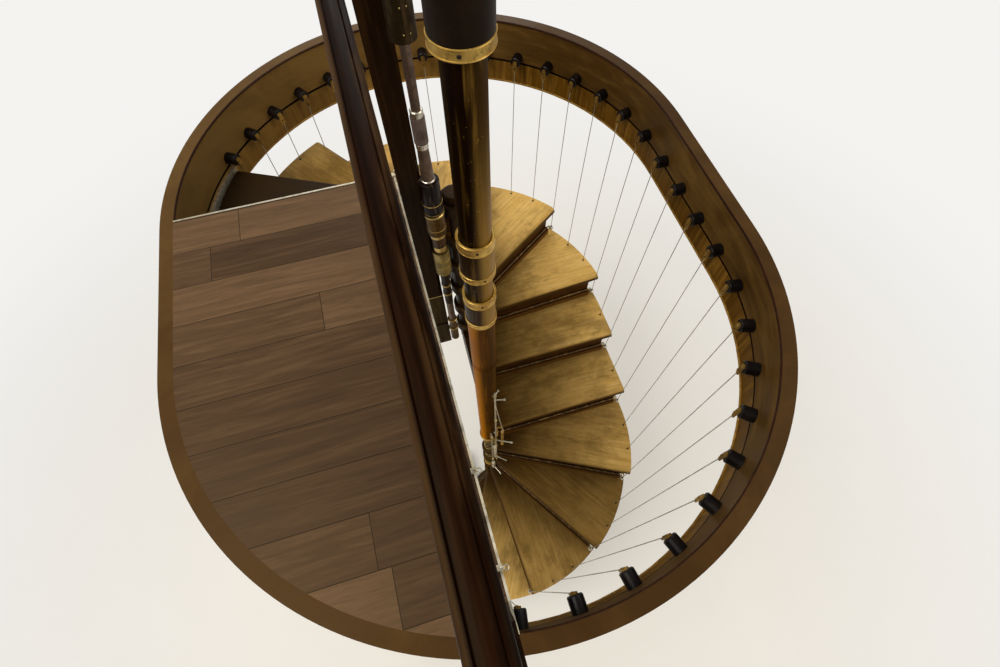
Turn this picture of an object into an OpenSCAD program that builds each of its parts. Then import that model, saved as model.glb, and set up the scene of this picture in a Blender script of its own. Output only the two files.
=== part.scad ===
// Spiral staircase in a long round-ended well.
// Winding treads of thick plank turn about the near column and about a short
// newel at the far end, with level treads between them. The outer ends of the
// treads hang on taut wires from pegs in the band that lines the floor above.
// Millimetres, +Z up. The origin is on the lower floor, in the axis of the
// near column, which stands in the near centre of the well. +Y runs towards
// the far end of the well, +X towards the side of the level treads. Seen from
// above the stair goes down clockwise.

/* [Well and storey] */
// Height of one step
rise = 185; // [176:1:192]
// Distance between the two centres of the well
span = 504; // [494:1:514]
// Inner radius of the band round the well
ring_r = 846; // [826:1:866]
// Thickness of the band
ring_t = 40; // [25:1:60]
// Depth of the band below the upper floor
ring_h = 270; // [255:1:290]
// Depth of the joint in the face of the band below the upper floor
seam_drop = 168; // [166:1:176]
// Width of that joint
seam_w = 7; // [4:0.5:9]
// Depth of that joint into the band
seam_d = 5; // [3:0.5:8]

/* [Treads] */
// Thickness of a tread plank
plank_t = 50; // [44:1:56]
// Gap between the outer edge of the treads and the band
edge_gap = 26; // [20:1:34]
// Thickness of a riser, the board that stands between two treads
riser_t = 18; // [16:1:19]
// How far the first tread runs back under the edge of the landing
tuck = 20; // [15:1:24]
// How far the front of a winding tread passes in front of the column axis
lead = 25; // [20:1:27]
// Wall of the eye of a winding tread round its post
eye_wall = 14; // [12:1:17]
// Drop of the bar below the top of its tread
bar_drop = 142; // [134:1:146]
// Diameter of the bar under the front of each tread
bar_d = 12; // [9:0.5:13]
// How far the bar lies behind the front line of its tread
bar_back = 20; // [16:0.5:21]
// Diameter of the ball at the outer end of each bar
bar_ball = 24; // [19:1:28]
// Thickness of the sloping board that carries the level treads
string_t = 36; // [30:1:38]
// Distance of the middle of that board from the near column axis
string_x = 20; // [17:1:23]
// Depth of that board
string_h = 190; // [180:1:200]

/* [Wires and pegs] */
// Spacing of the wires along the two sides, half the going of a level tread
side_pitch = 141.5; // [139:0.1:143]
// Angle between the wires round the near end
near_step = 10.12; // [9.98:0.01:10.2]
// Angle between the wires round the far end
far_step = 9.53; // [9.4:0.01:9.65]
// Place of the tenth wire past the near centre
peg_start = 26; // [20:1:32]
// Distance of the wires from the band
wire_in = 45; // [42:1:50]
// Diameter of a wire
wire_d = 3; // [2:0.5:4]
// Clearance of a wire in its hole
wire_play = 0.3; // [0.2:0.1:0.8]
// Diameter of a peg
peg_d = 42; // [36:1:44]
// Depth of the peg line below the upper floor
peg_drop = 142; // [136:1:144]
// Width of the forked end of a wire, held on the tip of its peg
fork_w = 18; // [15:1:22]
// Thickness of that forked end
fork_t = 5; // [4:0.5:6]

/* [Near column] */
// Radius of the varnished tubes
tube_r = 44; // [42:1:47]
// How much thinner the sliding tubes above the collars are
tube_step = 4; // [3.5:0.5:6]
// Radius of the core under the tubes
core_r = 32; // [30:1:34]
// Radius of the sleeve at the top
sleeve_r = 54; // [51:1:60]
// Length of the sleeve
sleeve_l = 350; // [250:1:450]
// Height of the ring under the sleeve above the upper floor
sleeve_up = 748; // [700:1:800]
// Height of the upper collar above the upper floor
collar_up = 145; // [120:1:170]
// Length of a collar
collar_l = 97; // [85:1:110]
// Length of the open ring on a collar
lip_l = 33; // [28:1:38]
// Length of a plain ring
band_l = 23; // [16:1:27]
// Depth of the top of the amber tube below the upper floor
amber_drop = 131; // [125:1:150]
// Depth of the three grooves of the amber tube below the upper floor
groove_drop = 459; // [420:1:500]
// How far a ring stands out from its tube
ring_out = 4; // [2:0.5:6]
// Radius of the foot plate
foot_r = 140; // [126:1:170]
// Thickness of the foot plate
foot_t = 14; // [8:1:20]
// Bolt circle radius of the foot plate
bolt_ring = 105; // [95:1:115]
// Diameter of a bolt hole
bolt_d = 14; // [9:1:18]

/* [Key work] */
// Diameter of the rods beside the near column
key_rod = 8; // [7:0.5:9]
// Length of the touch piece
touch_l = 235; // [200:1:250]
// Width of the touch piece
touch_w = 9; // [7:0.5:12]
// Thickness of the touch piece
touch_t = 5; // [4:0.5:6]

/* [Far newel and far column] */
// Radius of the short newel that carries the upper winding treads
newel_r = 45; // [42:1:47]
// Place of that newel to the right of the well's middle line
newel_x = 45; // [42:1:50]
// Place of that newel past the far centre of the well
newel_past = 41; // [38:1:46]
// Radius of the thin tube at the top of the far column
rod_r = 14; // [12:0.5:15]
// Radius of the slim barrel between the two silver rings
barrel_r = 22; // [20:0.5:24]
// Radius of the black barrel beside the landing
drum_r = 37; // [34:0.5:37.5]
// Radius of the sleeve at the top of the far column
cuff_r = 36; // [33:0.5:38]
// Height of the lower end of that sleeve above the upper floor
cuff_up = 468; // [440:1:500]
// Length of that sleeve
cuff_l = 500; // [400:1:560]
// Length of the thin tube
rod_l = 209; // [190:1:230]
// Length of a silver ring
clip_l = 24; // [18:1:30]
// Length of the slim barrel
barrel_l = 91; // [80:1:100]
// Length of the tapered tube above the floor
taper_l = 126; // [110:1:140]
// Length of the black barrel
drum_l = 149; // [130:1:170]
// Length of the riveted sleeve under it
case_l = 100; // [85:1:110]
// Length of the brown joint between two rings
joint_l = 56; // [48:1:64]
// Length of the riveted block
block_l = 148; // [130:1:165]
// Length of the dark tube under the block
dark_l = 258; // [240:1:275]
// Length of the pale tube
pale_l = 163; // [145:1:180]
// Length of the brown end of the far column
stub_l = 188; // [170:1:198]
// Place of the far column to the left of the well's middle line
far_off = 41; // [40:1:46]
// Place of the far column before the far centre of the well
far_back = 14; // [12:1:20]

/* [Landing and guard] */
// Distance of the landing edge from the near column axis
land_x = 143; // [138:1:150]
// Distance of the far landing edge past the far centre of the well
land_past = 31; // [28:1:34]
// Thickness of the landing deck
deck_t = 60; // [50:1:70]
// Width of the beam under the edge
beam_w = 45; // [35:1:60]
// Depth of the beam under the edge
beam_h = 110; // [90:1:114]
// Width of the metal strip on the edge
strip_w = 6; // [4:0.5:9]
// Thickness of the flat board at the corner of the landing
board_t = 28; // [22:1:32]
// Distance of that board from the far column axis, sideways and behind
board_gap = 22; // [20:1:24]
// Height of the top of that board above the upper floor
board_up = 992; // [900:1:1000]
// Depth of its lower end below the upper floor
board_down = 1248; // [1180:1:1280]
// Depths of the two steps in its face below the upper floor
step_high = 779; // [740:1:820]
step_low = 1043; // [1000:1:1080]
// Height of the handrail above the landing
rail_h = 821; // [800:1:1000]
// Width of the handrail
rail_w = 45; // [40:1:56]
// Depth of the handrail
rail_d = 60; // [52:1:70]
// Spacing of the balusters
bal_pitch = 110; // [95:1:118]
// Width of a baluster
bal_w = 22; // [18:1:28]

/* [Hidden] */
treads_n = 15;
storey = (treads_n + 1) * rise;
wire_r = ring_r - wire_in;
tread_r = ring_r - edge_gap;
// The riser's face is under the inner edge of the half-round front, and the
// tread below runs back a little further than the riser.
face_in = plank_t / 2 + wire_d;
lap = face_in + riser_t + 2;
riser_r = wire_r - bar_ball / 2 - 2;
peg_l = wire_in - fork_t / 2;
peg_z = storey - peg_drop;
fork_l = min(40, rise - peg_drop - 3);
newel_y = span + newel_past;
far_x = -far_off;
far_y = span - far_back;
land_y = span + land_past;
board_x = 2 - land_x;
board_w = land_x - 2 - far_off - board_gap;
board_y = far_y + board_gap;
string_slope = rise / (2 * side_pitch);
nose_k = 1.04;
block_in = strip_w + 1;
big = 3000;
tread_shade = [0.45, 0.35, 0.16];
dark_shade = [0.24, 0.17, 0.10];
rose_shade = [0.18, 0.09, 0.06];
brass_shade = [0.66, 0.52, 0.20];
pale_shade = [0.74, 0.70, 0.62];
$fn = 96;

// Stations of the wires: a length along the wire line from the near centre,
// on the right side, then round the far end where it is greater than the
// span, round the near end where it is negative, and back on the left side.
// The sixth to tenth wires and the last two go by the spacing of the sides.
function arc(a) = a * PI / 180 * wire_r;
function station(k) =
  k < 6 ? peg_start + 4 * side_pitch + (6 - k) * arc(far_step) :
  k < 10 ? peg_start + (10 - k) * side_pitch :
  k < 28 ? peg_start - (k - 10) * arc(near_step) :
  peg_start - 18 * arc(near_step) - (k - 28) * side_pitch;
function turn(s) = (s > span ? s - span : s) / wire_r * 180 / PI;
function place(s, r) =
  s < -PI * wire_r ? [-r, -s - PI * wire_r] :
  s < 0 ? [r * cos(turn(s)), r * sin(turn(s))] :
  s > span ? [r * cos(turn(s)), span + r * sin(turn(s))] : [r, s];
// Way outwards from the well's middle line at a station.
function outward(s) = place(s, 1) - place(s, 0);
// Way down the stair at a station.
function onward(s) = [outward(s)[1], -outward(s)[0]];

// Level treads take two wires and winding treads three.
function level_tread(i) = i == 7 || i == 8 || i == treads_n;
function wires_of(i) = level_tread(i) ? 2 : 3;
function last_wire(i) = i < 2 ? -9 : last_wire(i - 1) + wires_of(i);
function top_of(i) = storey - i * rise;

// Front line of tread i: its point at the post and its way outwards.
function front_s(i) = station(last_wire(i));
function front_end(i) = place(front_s(i), wire_r);
function at_far(i) = i < 7;
function front_root(i) =
  at_far(i) ? [newel_x, newel_y] :
  level_tread(i) ? [0, front_end(i)[1]] :
  lead * onward(front_s(i));
function unit(v) = v / norm(v);
function front_way(i) = unit(front_end(i) - front_root(i));
function left_of(v) = [-v[1], v[0]];

// A solid with two straight sides and round ends.
module stadium(r, h) {
  cylinder(r = r, h = h);
  translate([0, span, 0]) cylinder(r = r, h = h);
  translate([-r, 0, 0]) cube([2 * r, span, h]);
}

// Wedge between the front line of tread i and a line that lies the lap behind
// the front line of the tread above, or behind the edge of the landing.
module wedge(i) {
  reach = 1.5 * tread_r;
  p = front_root(i);
  w = front_way(i);
  wb = i == 1 ? [-1, 0] : front_way(i - 1);
  q = i == 1 ? [newel_x, land_y - tuck] : front_root(i - 1) + lap * left_of(wb);
  polygon([p, p + w * reach, (p + q) / 2 + unit(w + wb) * 1.6 * reach, q + wb * reach, q]);
}

module wire_holes(i) {
  if (i > 1)
    for (k = [last_wire(i) - wires_of(i) + 1 : last_wire(i) - 1])
      translate([place(station(k), wire_r)[0], place(station(k), wire_r)[1], -5])
        cylinder(d = wire_d + 2 * wire_play, h = plank_t + 10, $fn = 24);
}

// A tread: a plank with a half-round front. Its outer end follows the well.
// Its inner end is an eye on its column, or square at the sloping board.
module tread(i) {
  p = front_root(i);
  a = atan2(front_way(i)[1], front_way(i)[0]);
  axis = at_far(i) ? [newel_x, newel_y] : [0, 0];
  post = at_far(i) ? newel_r : core_r;
  translate([0, 0, top_of(i) - plank_t])
    difference() {
      union() {
        intersection() {
          linear_extrude(height = plank_t) wedge(i);
          stadium(tread_r, plank_t);
          translate([p[0], p[1], plank_t / 2]) rotate(a) {
            translate([-big / 2, face_in, -plank_t]) cube([big, big, 2 * plank_t]);
            translate([-big / 2, face_in, 0]) rotate([0, 90, 0])
              cylinder(r = nose_k * plank_t / 2, h = big, $fn = 64);
          }
        }
        if (!level_tread(i))
          translate([axis[0], axis[1], 0]) cylinder(r = post + eye_wall, h = plank_t);
      }
      wire_holes(i);
      if (!level_tread(i))
        translate([axis[0], axis[1], -5]) cylinder(r = post, h = plank_t + 10);
      if (level_tread(i) && i < treads_n)
        translate([string_x + string_t / 2 - big, -big, -5]) cube([big, 2 * big, plank_t + 10]);
      if (i == treads_n)
        translate([-land_x - block_in, -big, -5]) cube([big, 2 * big, plank_t + 10]);
      if (i == 1) {
        translate([board_x - 1, board_y - 50, -5]) cube([board_w + 2, board_t + 51, plank_t + 10]);
        translate([far_x, far_y, -5]) cylinder(r = drum_r + 4, h = plank_t + 10);
      }
    }
}

// A riser with its foot strip. It stands on the back of the tread below and
// ends just short of the ball of the bar.
module riser(i) {
  h = rise - plank_t;
  foot_in = bar_back - bar_d - 2;
  foot_h = rise - bar_drop - bar_d / 2 - 1;
  axis = at_far(i) ? [newel_x, newel_y] : [0, 0];
  post = at_far(i) ? newel_r : core_r;
  translate([0, 0, top_of(i + 1)])
    difference() {
      intersection() {
        stadium(riser_r, h);
        translate([front_root(i)[0], front_root(i)[1], 0])
          rotate(atan2(front_way(i)[1], front_way(i)[0])) {
            translate([0, face_in, 0]) cube([big, riser_t, h]);
            translate([0, foot_in, 0]) cube([big, face_in - foot_in + 1, foot_h]);
          }
      }
      translate([axis[0], axis[1], -5]) cylinder(r = post + 3, h = h + 10);
      if (level_tread(i))
        translate([string_x + string_t / 2 - big, -big, -5]) cube([big, 2 * big, h + 10]);
    }
}
module risers() {
  color(dark_shade) for (i = [1 : treads_n - 1]) riser(i);
}

// The bars in front of the risers. Each turns forward at its outer end to a
// ball, which closes the last wire of its tread.
module tread_bars() {
  color(pale_shade)
    for (i = [1 : treads_n - 1]) {
      p = front_root(i);
      w = front_way(i);
      c = at_far(i) ? [newel_x, newel_y] : [0, 0];
      r = at_far(i) ? newel_r : core_r;
      // distances from the root to the ball, and to where the bar meets its
      // column or board
      reach = norm(front_end(i) - p);
      d = level_tread(i) ? string_x + string_t / 2
        : (c - p) * w + sqrt(r * r - pow((c - p) * left_of(w) - bar_back, 2));
      translate([p[0], p[1], top_of(i) - bar_drop])
        rotate(atan2(w[1], w[0])) {
          translate([d, bar_back, 0]) rotate([0, 90, 0])
            cylinder(d = bar_d, h = reach - d, $fn = 24);
          translate([reach, bar_back, 0]) sphere(d = bar_d, $fn = 24);
          translate([reach, 0, 0]) {
            rotate([-90, 0, 0]) cylinder(d = bar_d, h = bar_back, $fn = 24);
            sphere(d = bar_ball, $fn = 32);
          }
        }
    }
}

// Sloping board between the columns that carries the level treads.
module inner_string() {
  y0 = 0;
  y1 = newel_y;
  mid = front_end(7)[1];
  at_mid = top_of(7) + 40;
  under = top_of(6) - plank_t;
  color(dark_shade)
    difference() {
      translate([string_x - string_t / 2, 0, 0]) mirror([0, 0, 1]) rotate([0, 90, 0])
        linear_extrude(height = string_t)
          polygon([
            [at_mid + (y0 - mid) * string_slope - string_h, y0],
            [at_mid + (y0 - mid) * string_slope, y0],
            [under, mid + (under - at_mid) / string_slope],
            [under, y1],
            [at_mid + (y1 - mid) * string_slope - string_h, y1]]);
      translate([0, 0, top_of(12)]) cylinder(r = core_r, h = 8 * rise);
      translate([newel_x, newel_y, top_of(9)]) cylinder(r = newel_r, h = 6 * rise);
    }
}

// Block under the lowest tread, standing on the lower floor.
module bottom_block() {
  i = treads_n;
  set = plank_t / 2 - 3;
  color(dark_shade)
    intersection() {
      translate([-tread_r, 0, 0])
        cube([tread_r - land_x - block_in - set, front_end(i)[1] - set, top_of(i) - plank_t]);
      stadium(tread_r - set, top_of(i));
    }
}

// The band round the well, with a joint round its inner face. It is made in
// four round corners and two straight sides.
module band() {
  color(dark_shade)
    difference() {
      translate([0, 0, storey - ring_h]) stadium(ring_r + ring_t, ring_h);
      translate([0, 0, storey - ring_h - 1]) stadium(ring_r, ring_h + 2);
      translate([0, 0, storey - seam_drop - seam_w / 2]) stadium(ring_r + seam_d, seam_w);
    }
}
module band_corner(side, end) {
  intersection() {
    band();
    translate([side > 0 ? 0 : -big, end > 0 ? span : -big, 0]) cube([big, big, 2 * storey]);
  }
}
module band_near_right() { band_corner(1, -1); }
module band_near_left() { band_corner(-1, -1); }
module band_far_right() { band_corner(1, 1); }
module band_far_left() { band_corner(-1, 1); }
module band_sides() {
  intersection() {
    band();
    translate([-big, 0, 0]) cube([2 * big, span, 2 * storey]);
  }
}

// Puts its child at a wire, with +X outwards, at the height of the pegs.
module at_wire(k) {
  translate([place(station(k), wire_r)[0], place(station(k), wire_r)[1], peg_z])
    rotate(atan2(outward(station(k))[1], outward(station(k))[0])) children();
}
first_peg = last_wire(1);
last_peg = last_wire(treads_n) - 1;

// Turned pegs that stand in the band above its joint, with a bevelled tip.
module wire_pegs() {
  tip = peg_d / 14;
  r = peg_d / 2;
  color([0.05, 0.05, 0.05])
    for (k = [first_peg : last_peg])
      at_wire(k) translate([wire_in - peg_l, 0, 0]) rotate([0, 90, 0])
        rotate_extrude($fn = 48)
          polygon([[0, 0], [r - tip, 0], [r, tip], [r, peg_l], [0, peg_l]]);
}

// Flat forked ends on the tips of the pegs, which hold the wires.
module wire_ends() {
  grip = 12;
  up = 5;
  half = fork_w / 2;
  slit = wire_d / 2 + 1;
  color(brass_shade)
    for (k = [first_peg : last_peg])
      at_wire(k) {
        translate([-fork_t / 2, 0, 0]) rotate([90, 0, 90]) linear_extrude(height = fork_t)
          polygon([[-half, -fork_l], [-slit, -fork_l], [-slit, -fork_l / 2],
            [slit, -fork_l / 2], [slit, -fork_l], [half, -fork_l], [half, up],
            [half / 2, up + half / 2], [-half / 2, up + half / 2], [-half, up]]);
        translate([0, 0, -fork_l]) cylinder(d = wire_d + 6, h = grip, $fn = 32);
      }
}

// Taut wires from the forked ends through the treads or to the balls.
module wires() {
  color([0.70, 0.70, 0.68])
    for (i = [1 : treads_n])
      for (k = [i == 1 ? first_peg : last_wire(i) - wires_of(i) + 1 : last_wire(i)])
        if (k <= last_peg) {
          is_last = k == last_wire(i);
          low = (is_last ? top_of(i) - bar_drop + bar_ball / 2 - 1 : top_of(i) - plank_t - 8)
            - peg_z;
          at_wire(k) translate([0, 0, low]) {
            cylinder(d = wire_d, h = -fork_l - low, $fn = 24);
            if (!is_last) cylinder(d = 10, h = 8, $fn = 24);
          }
        }
}

// Near column, from the foot plate to the sleeve: heights of its joints.
neck_z = [top_of(11) + plank_t + 3, top_of(8) + plank_t + 10];
amber_z = [neck_z[1] + band_l, storey - amber_drop];
lower_collar = [amber_z[1] + band_l, amber_z[1] + band_l + collar_l];
upper_collar = [storey + collar_up, storey + collar_up + collar_l];
sleeve_z = storey + sleeve_up;

module column_base() {
  color([0.16, 0.11, 0.07])
    difference() {
      union() {
        cylinder(r = foot_r, h = foot_t);
        translate([0, 0, foot_t]) cylinder(r1 = core_r + 26, r2 = core_r + 6, h = 36);
        cylinder(r = core_r, h = neck_z[0]);
      }
      for (a = [45 : 90 : 315])
        rotate(a) translate([bolt_ring, 0, -1]) cylinder(d = bolt_d, h = foot_t + 2, $fn = 32);
    }
}

// Neck with broad ribs, no thicker than the core.
module column_neck() {
  ribs = 6;
  step = (neck_z[1] - neck_z[0]) / ribs;
  color([0.25, 0.20, 0.12])
    translate([0, 0, neck_z[0]]) rotate_extrude()
      polygon(concat([[0, 0]],
        [for (j = [0 : ribs - 1]) for (q = [[0, 0], [0, 0.62], [-4, 0.68], [-4, 0.94]])
          [core_r + q[0], (j + q[1]) * step]],
        [[core_r, ribs * step], [0, ribs * step]]));
}

// Ring with eased edges, from z0 to z1.
module ring(z0, z1, r, bore = 0) {
  m = min(3, (z1 - z0) / 4, (r - bore) / 2);
  rotate_extrude()
    polygon([[bore, z0], [r - m, z0], [r, z0 + m], [r, z1 - m], [r - m, z1], [bore, z1]]);
}

// Amber tube with three grooves round it.
module column_amber() {
  mid = storey - groove_drop;
  color([0.55, 0.30, 0.08])
    difference() {
      translate([0, 0, amber_z[0]]) cylinder(r = tube_r, h = amber_z[1] - amber_z[0]);
      for (j = [-1 : 1])
        translate([0, 0, mid + j * 14]) difference() {
          cylinder(r = tube_r + 1, h = 4);
          translate([0, 0, -1]) cylinder(r = tube_r - 1.5, h = 6);
        }
    }
}

module column_collars() {
  color(rose_shade)
    for (z = [lower_collar, upper_collar])
      translate([0, 0, z[0]]) cylinder(r = tube_r + ring_out / 2, h = z[1] - z[0]);
}

// Thinner tubes that slide in the collars.
module column_tubes() {
  color(rose_shade)
    for (z = [[lower_collar[1], upper_collar[0] - band_l], [upper_collar[1], sleeve_z]])
      translate([0, 0, z[0]]) cylinder(r = tube_r - tube_step, h = z[1] - z[0]);
}

// Brass rings. Those on the collars are wider than the tube that they hold.
module column_rings() {
  r = tube_r + ring_out;
  lip = tube_r - tube_step + 2;
  color(brass_shade) {
    ring(top_of(11) + 6, top_of(11) + 30, core_r + 7, core_r);
    ring(neck_z[1], amber_z[0], r);
    ring(amber_z[1], lower_collar[0], r);
    ring(upper_collar[0] - band_l, upper_collar[0], r);
    for (z = [lower_collar[1], upper_collar[1]]) ring(z, z + lip_l, r, lip);
    ring(sleeve_z, sleeve_z + band_l, sleeve_r + 1);
  }
}

module column_sleeve() {
  color([0.17, 0.13, 0.11])
    translate([0, 0, sleeve_z + band_l]) rotate_extrude()
      polygon([[0, 0], [sleeve_r, 0], [sleeve_r, sleeve_l], [sleeve_r - 4, sleeve_l],
        [sleeve_r - 22, sleeve_l + 14], [0, sleeve_l + 14]]);
}

// Key work: two slim rods beside the near column, held by small posts, with
// ball-ended arms and a long touch piece. It stops above the tenth tread.
module keywork() {
  long_rod = [24, -55];
  short_rod = [0, -60];
  foot = [top_of(10) + 16, top_of(10) - 75];
  head = [storey - 690, top_of(7) + 35];
  rod = key_rod;
  color(pale_shade) {
    translate([long_rod[0], long_rod[1], foot[0]]) cylinder(d = rod, h = head[0] - foot[0], $fn = 24);
    translate([short_rod[0], short_rod[1], foot[1]])
      cylinder(d = rod - 1, h = head[1] - foot[1], $fn = 24);
    // posts, from the neck or from the amber tube
    for (q = [[long_rod, foot[0] + 24, core_r], [long_rod, head[0] - 60, tube_r],
        [long_rod, top_of(7) + 5, tube_r], [short_rod, foot[1] + 20, core_r],
        [short_rod, head[1] - 30, tube_r]])
      rotate(atan2(q[0][1], q[0][0])) translate([q[2] - 1, 0, q[1]]) rotate([0, 90, 0])
        cylinder(d = rod - 2, h = norm(q[0]) - q[2] + 1, $fn = 24);
    // arms
    for (q = [[head[0] - 80, 40, 6], [head[0] - 20, 22, 60], [top_of(8) + 80, 84, -6],
        [foot[0] + 74, 62, -20]])
      translate([long_rod[0], long_rod[1], q[0]]) {
        sphere(d = 1.5 * rod, $fn = 24);
        rotate(q[2] - 20) {
          rotate([0, 90, 0]) cylinder(d = rod - 2, h = q[1], $fn = 24);
          translate([q[1], 0, 0]) sphere(d = 1.3 * rod, $fn = 24);
        }
      }
    // touch piece on the short rod
    translate([short_rod[0] - touch_w / 2, short_rod[1] - 7, top_of(8) - touch_l - 15])
      cube([touch_w, touch_t, touch_l]);
  }
}

// Short newel that carries the upper winding treads.
module far_newel() {
  z0 = top_of(6) - bar_drop - 10;
  z1 = top_of(1) + 20;
  color(rose_shade)
    translate([newel_x, newel_y, 0]) rotate_extrude()
      polygon([[0, z0 - 12], [newel_r - 16, z0 - 12], [newel_r, z0], [newel_r, z1],
        [newel_r - 12, z1 + 10], [0, z1 + 10]]);
}

// Far column. It hangs beside the landing and ends under the sixth tread. It
// is a stack of turned lengths, counted down from the sleeve at its top.
stack = [rod_l, clip_l, barrel_l, clip_l, taper_l, clip_l / 2, drum_l, clip_l / 2,
  case_l, clip_l, joint_l, 1.5 * clip_l, block_l, dark_l, pale_l, clip_l / 2, stub_l];
function joint_z(n) = n == 0 ? storey + cuff_up : joint_z(n - 1) - stack[n - 1];
module turned(n, r_top, r_low) {
  translate([far_x, far_y, joint_z(n + 1)]) cylinder(r1 = r_low, r2 = r_top, h = stack[n]);
}
module far_tubes() {
  color([0.42, 0.38, 0.34]) {
    turned(0, rod_r, rod_r);
    turned(4, barrel_r - 4, barrel_r);
    turned(14, rod_r + 2.5, rod_r + 2.5);
  }
}
module far_barrels() {
  color([0.10, 0.07, 0.07]) {
    turned(2, barrel_r, barrel_r);
    turned(6, drum_r - 1, drum_r);
    turned(10, drum_r - 8, drum_r - 9);
    turned(13, rod_r + 6, rod_r + 4);
    turned(16, rod_r + 5, rod_r + 6);
  }
}
module far_rings() {
  color(pale_shade)
    translate([far_x, far_y, 0]) {
      for (n = [[1, barrel_r - 2.5], [3, barrel_r - 2.5], [5, barrel_r + 3], [7, drum_r + 2],
          [9, drum_r - 5], [11, drum_r - 10], [15, rod_r + 10]])
        ring(joint_z(n[0] + 1), joint_z(n[0]), n[1]);
      // rings on the dark tube and on the brown end
      for (z = [0.3, 0.57]) ring(joint_z(14) + z * dark_l, joint_z(14) + z * dark_l + clip_l / 2,
        rod_r + 8, rod_r + 5.8);
      ring(joint_z(17) + 0.54 * stub_l, joint_z(17) + 0.62 * stub_l, rod_r + 10, rod_r + 6);
    }
}
// Riveted sleeves: a tall one at the top and two short ones below the drum.
module far_sleeves() {
  color([0.36, 0.33, 0.22]) {
    turned(8, drum_r, drum_r);
    turned(12, drum_r - 3, drum_r - 3);
    translate([far_x, far_y, joint_z(0)]) rotate_extrude()
      polygon([[0, 0], [cuff_r, 0], [cuff_r, cuff_l], [cuff_r - 12, cuff_l + 8], [0, cuff_l + 8]]);
  }
}

// Flat board at the corner of the landing. It is hollowed where the drum and
// the top sleeve of the far column are let into it, and stepped twice below.
module newel_board() {
  z0 = storey - board_down;
  steps = [storey - step_low, storey - step_high];
  play = 4;
  color([0.33, 0.27, 0.15])
    difference() {
      translate([board_x, board_y, z0]) cube([board_w, board_t, board_down + board_up]);
      translate([board_x - 1, board_y - 1, steps[0]]) cube([board_w + 2, play, steps[1] - steps[0]]);
      turned(6, drum_r - 1, drum_r);
      translate([far_x, far_y, joint_z(14)]) cylinder(r = drum_r + play, h = joint_z(7) - joint_z(14));
      translate([far_x, far_y, joint_z(6)]) cylinder(r = drum_r - 1, h = 3 * clip_l);
      translate([far_x, far_y, joint_z(0)]) cylinder(r = cuff_r, h = cuff_l + rise);
    }
}

// Landing: deck inside the band, beam under its two free edges.
module landing_area(inset, h) {
  intersection() {
    stadium(ring_r, h);
    translate([-big, -big, -1]) cube([big - land_x - inset, big + land_y - inset, h + 2]);
  }
}
module landing_deck() {
  color(dark_shade)
    translate([0, 0, storey - deck_t]) landing_area(strip_w, deck_t);
}
module landing_beam() {
  color(dark_shade)
    translate([0, 0, storey - deck_t - beam_h]) difference() {
      landing_area(strip_w + 3, beam_h);
      translate([0, 0, -1]) landing_area(strip_w + 3 + beam_w, beam_h + 2);
    }
}
// Thin metal strips: on the landing edge, and on the band beside the first
// tread, from its front to a little before the landing.
module edge_strips() {
  a = atan2(front_end(1)[1] - span, front_end(1)[0]);
  h = 28;
  color(pale_shade) {
    translate([0, 0, storey - 30]) difference() {
      landing_area(0, 30);
      translate([0, 0, -1]) landing_area(strip_w, 32);
    }
    translate([0, span, top_of(1) - h + 4]) intersection() {
      difference() {
        cylinder(r = ring_r, h = h);
        translate([0, 0, -1]) cylinder(r = tread_r + edge_gap / 2, h = h + 2);
      }
      rotate(a) translate([0, 0, -1]) cube([2 * ring_r, 2 * ring_r, h + 2]);
      translate([-2 * ring_r, land_past + 130, -1]) cube([2 * ring_r, ring_r, h + 2]);
    }
  }
}

// Guard over the landing edge: handrail, end post and square balusters.
rail_x = -land_x - 11 - rail_w;
rail_y0 = 10 - sqrt(pow(ring_r, 2) - pow(rail_x, 2));
rail_y1 = far_y;

// Handrail with a round top on a narrower underside.
module handrail() {
  top_h = 0.8 * rail_w;
  under_w = 0.76 * rail_w;
  flute = 0.07 * rail_w;
  color(rose_shade)
    translate([rail_x + rail_w / 2, rail_y1, storey + rail_h]) rotate([90, 0, 0])
      linear_extrude(height = rail_y1 - rail_y0) {
        difference() {
          intersection() {
            translate([0, -1.2 * rail_w]) circle(r = 1.2 * rail_w);
            translate([-rail_w / 2, -top_h]) square([rail_w, top_h]);
          }
          // flutes along the top and under the roll on each side
          for (x = [-0.34, 0.2]) translate([x * rail_w, -0.04 * rail_w]) circle(r = flute);
          for (x = [-1, 1]) translate([x * rail_w / 2, -0.42 * rail_w]) circle(r = flute);
        }
        translate([-under_w / 2, -rail_d]) square([under_w, rail_d - top_h + 4]);
      }
}
module balusters() {
  n = floor((rail_y1 - rail_y0 - rail_w) / bal_pitch);
  gap = (rail_y1 - rail_y0 - rail_w) / n;
  color(rose_shade) {
    translate([rail_x, rail_y0, storey]) cube([rail_w, rail_w, rail_h - rail_d]);
    for (j = [1 : n])
      translate([rail_x + (rail_w - bal_w) / 2,
          rail_y0 + rail_w + (j - 0.5) * gap - bal_w / 2, storey])
        cube([bal_w, bal_w, rail_h - rail_d]);
  }
}

module tread_01() { color(tread_shade) tread(1); }
module tread_02() { color(tread_shade) tread(2); }
module tread_03() { color(tread_shade) tread(3); }
module tread_04() { color(tread_shade) tread(4); }
module tread_05() { color(tread_shade) tread(5); }
module tread_06() { color(tread_shade) tread(6); }
module tread_07() { color(tread_shade) tread(7); }
module tread_08() { color(tread_shade) tread(8); }
module tread_09() { color(tread_shade) tread(9); }
module tread_10() { color(tread_shade) tread(10); }
module tread_11() { color(tread_shade) tread(11); }
module tread_12() { color(tread_shade) tread(12); }
module tread_13() { color(tread_shade) tread(13); }
module tread_14() { color(tread_shade) tread(14); }
module tread_15() { color(tread_shade) tread(15); }

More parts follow.
